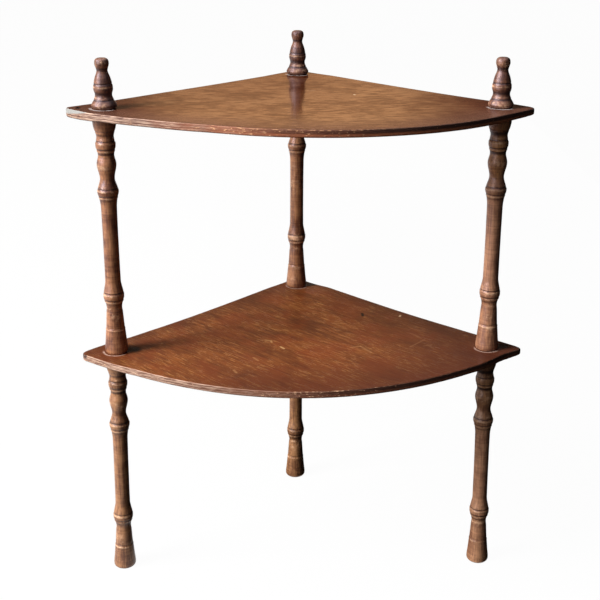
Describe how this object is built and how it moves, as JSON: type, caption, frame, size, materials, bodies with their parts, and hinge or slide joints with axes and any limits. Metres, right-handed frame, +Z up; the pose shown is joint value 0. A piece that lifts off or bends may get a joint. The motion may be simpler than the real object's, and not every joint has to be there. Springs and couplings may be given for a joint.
{
  "type": "corner shelving unit",
  "caption": "Free-standing corner shelving unit: thin bow-fronted plywood shelves carried at their corners by turned wooden spindles, with turned finials on top.",
  "frame": {"origin": "on the floor, under the middle of the whole unit's box", "axes": "+Z up, -Y out of the bowed front, +Y towards the corner of the room, +X to the right of someone who faces the unit"},
  "size_m": [0.4682, 0.3246, 0.5732],
  "materials": {
    "turned_wood": "dark brown stain, satin varnish worn on the beads",
    "top_board_wood": "reddish brown stained plywood, satin varnish",
    "lower_board_wood": "darker reddish brown stained plywood, satin varnish",
    "screw_steel": "plain bright steel"
  },
  "bodies": {
    "root": {"lower_leg_left": "turned_wood", "lower_leg_right": "turned_wood", "lower_leg_back": "turned_wood", "bottom_shelf": "lower_board_wood", "upper_spindle_left": "turned_wood", "upper_spindle_right": "turned_wood", "upper_spindle_back": "turned_wood", "top_shelf": "top_board_wood", "finial_left": "turned_wood", "finial_right": "turned_wood", "finial_back": "turned_wood", "lower_dowel_screw_left": "screw_steel", "lower_dowel_screw_right": "screw_steel", "lower_dowel_screw_back": "screw_steel", "upper_dowel_screw_left": "screw_steel", "upper_dowel_screw_right": "screw_steel", "upper_dowel_screw_back": "screw_steel"}
  },
  "joints": []
}
